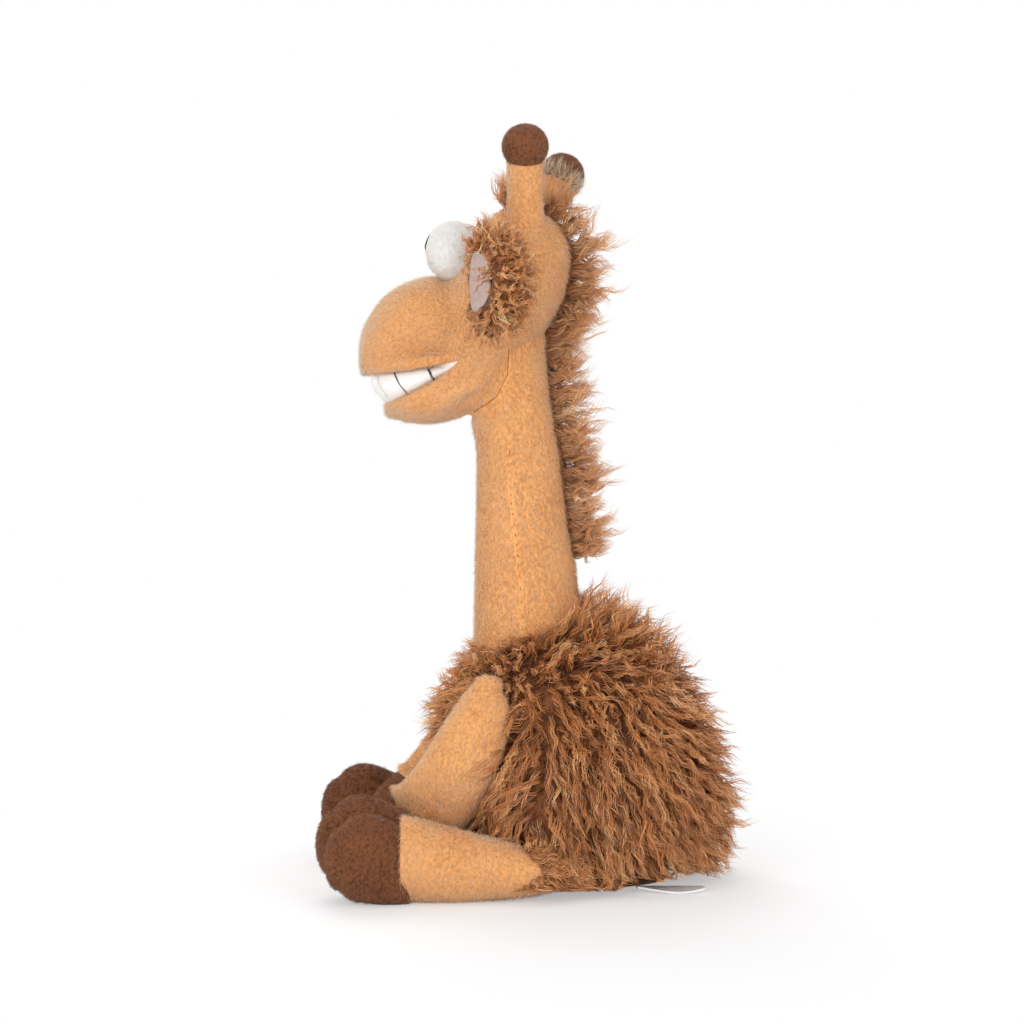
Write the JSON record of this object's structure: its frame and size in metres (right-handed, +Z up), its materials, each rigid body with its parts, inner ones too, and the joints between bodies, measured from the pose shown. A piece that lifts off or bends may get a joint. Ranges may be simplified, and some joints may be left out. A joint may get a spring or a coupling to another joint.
{
  "type": "plush giraffe",
  "caption": "Sitting plush giraffe with a shaggy fur body, long maned neck, felt eyes, toothy grin, horns, curly ears and sewn-on limbs with cloven hooves.",
  "frame": {"origin": "middle of the flat seat, on the surface that the toy sits on", "axes": "+Z up along the neck, -Y the way the giraffe faces, +X its own left side"},
  "size_m": [0.1776, 0.2239, 0.3992],
  "materials": {
    "tan_plush": "short-pile plush",
    "brown_plush": "short-pile plush",
    "shaggy_fur": "long shaggy curly fur with shiny tips",
    "mane_fur": "long wavy fur",
    "white_felt": "brushed felt",
    "black_felt": "felt",
    "white_plush": "smooth short plush",
    "lining_plush": "smooth short plush",
    "stuffing_fibre": "loose polyester fibre",
    "pellet_cloth": "plain woven bag of pellets",
    "white_ribbon": "satin ribbon, blank"
  },
  "bodies": {
    "giraffe": {"body_cover": "shaggy_fur", "base_panel": "shaggy_fur", "bean_bag": "pellet_cloth", "body_stuffing": "stuffing_fibre", "seam_tab": "white_ribbon", "neck": "tan_plush", "head": "tan_plush", "muzzle": "tan_plush", "lower_jaw": "tan_plush", "teeth": "white_plush", "left_eyeball": "white_felt", "right_eyeball": "white_felt", "left_pupil": "black_felt", "right_pupil": "black_felt", "left_horn": "tan_plush", "right_horn": "tan_plush", "left_horn_ball": "brown_plush", "right_horn_ball": "brown_plush", "mane": "mane_fur"},
    "left_ear": {"left_ear": "shaggy_fur", "left_ear_lining": "lining_plush"},
    "right_ear": {"right_ear": "shaggy_fur", "right_ear_lining": "lining_plush"},
    "left_arm": {"left_arm": "tan_plush", "left_hand": "brown_plush"},
    "right_arm": {"right_arm": "tan_plush", "right_hand": "brown_plush"},
    "left_leg": {"left_leg": "tan_plush", "left_hoof": "brown_plush"},
    "right_leg": {"right_leg": "tan_plush", "right_hoof": "brown_plush"}
  },
  "joints": [
    {"name": "left_ear_flap", "type": "hinge", "parent": "giraffe", "child": "left_ear", "pos_m": [0.03652, -0.05792, 0.31506], "axis": [0, 0, 1], "range_deg": [-20, 30]},
    {"name": "right_ear_flap", "type": "hinge", "parent": "giraffe", "child": "right_ear", "pos_m": [-0.03652, -0.05792, 0.31506], "axis": [0, 0, -1], "range_deg": [-20, 30]},
    {"name": "left_arm_swing", "type": "hinge", "parent": "giraffe", "child": "left_arm", "pos_m": [0.04762, -0.052, 0.108], "axis": [-1, 0, 0], "range_deg": [0, 100]},
    {"name": "right_arm_swing", "type": "hinge", "parent": "giraffe", "child": "right_arm", "pos_m": [-0.04762, -0.052, 0.108], "axis": [-1, 0, 0], "range_deg": [0, 100]},
    {"name": "left_leg_swing", "type": "hinge", "parent": "giraffe", "child": "left_leg", "pos_m": [0.06009, -0.01792, 0.012], "axis": [-1, 0, 0], "range_deg": [-85, 0]},
    {"name": "right_leg_swing", "type": "hinge", "parent": "giraffe", "child": "right_leg", "pos_m": [-0.05892, -0.02392, 0.012], "axis": [-1, 0, 0], "range_deg": [-85, 0]}
  ]
}
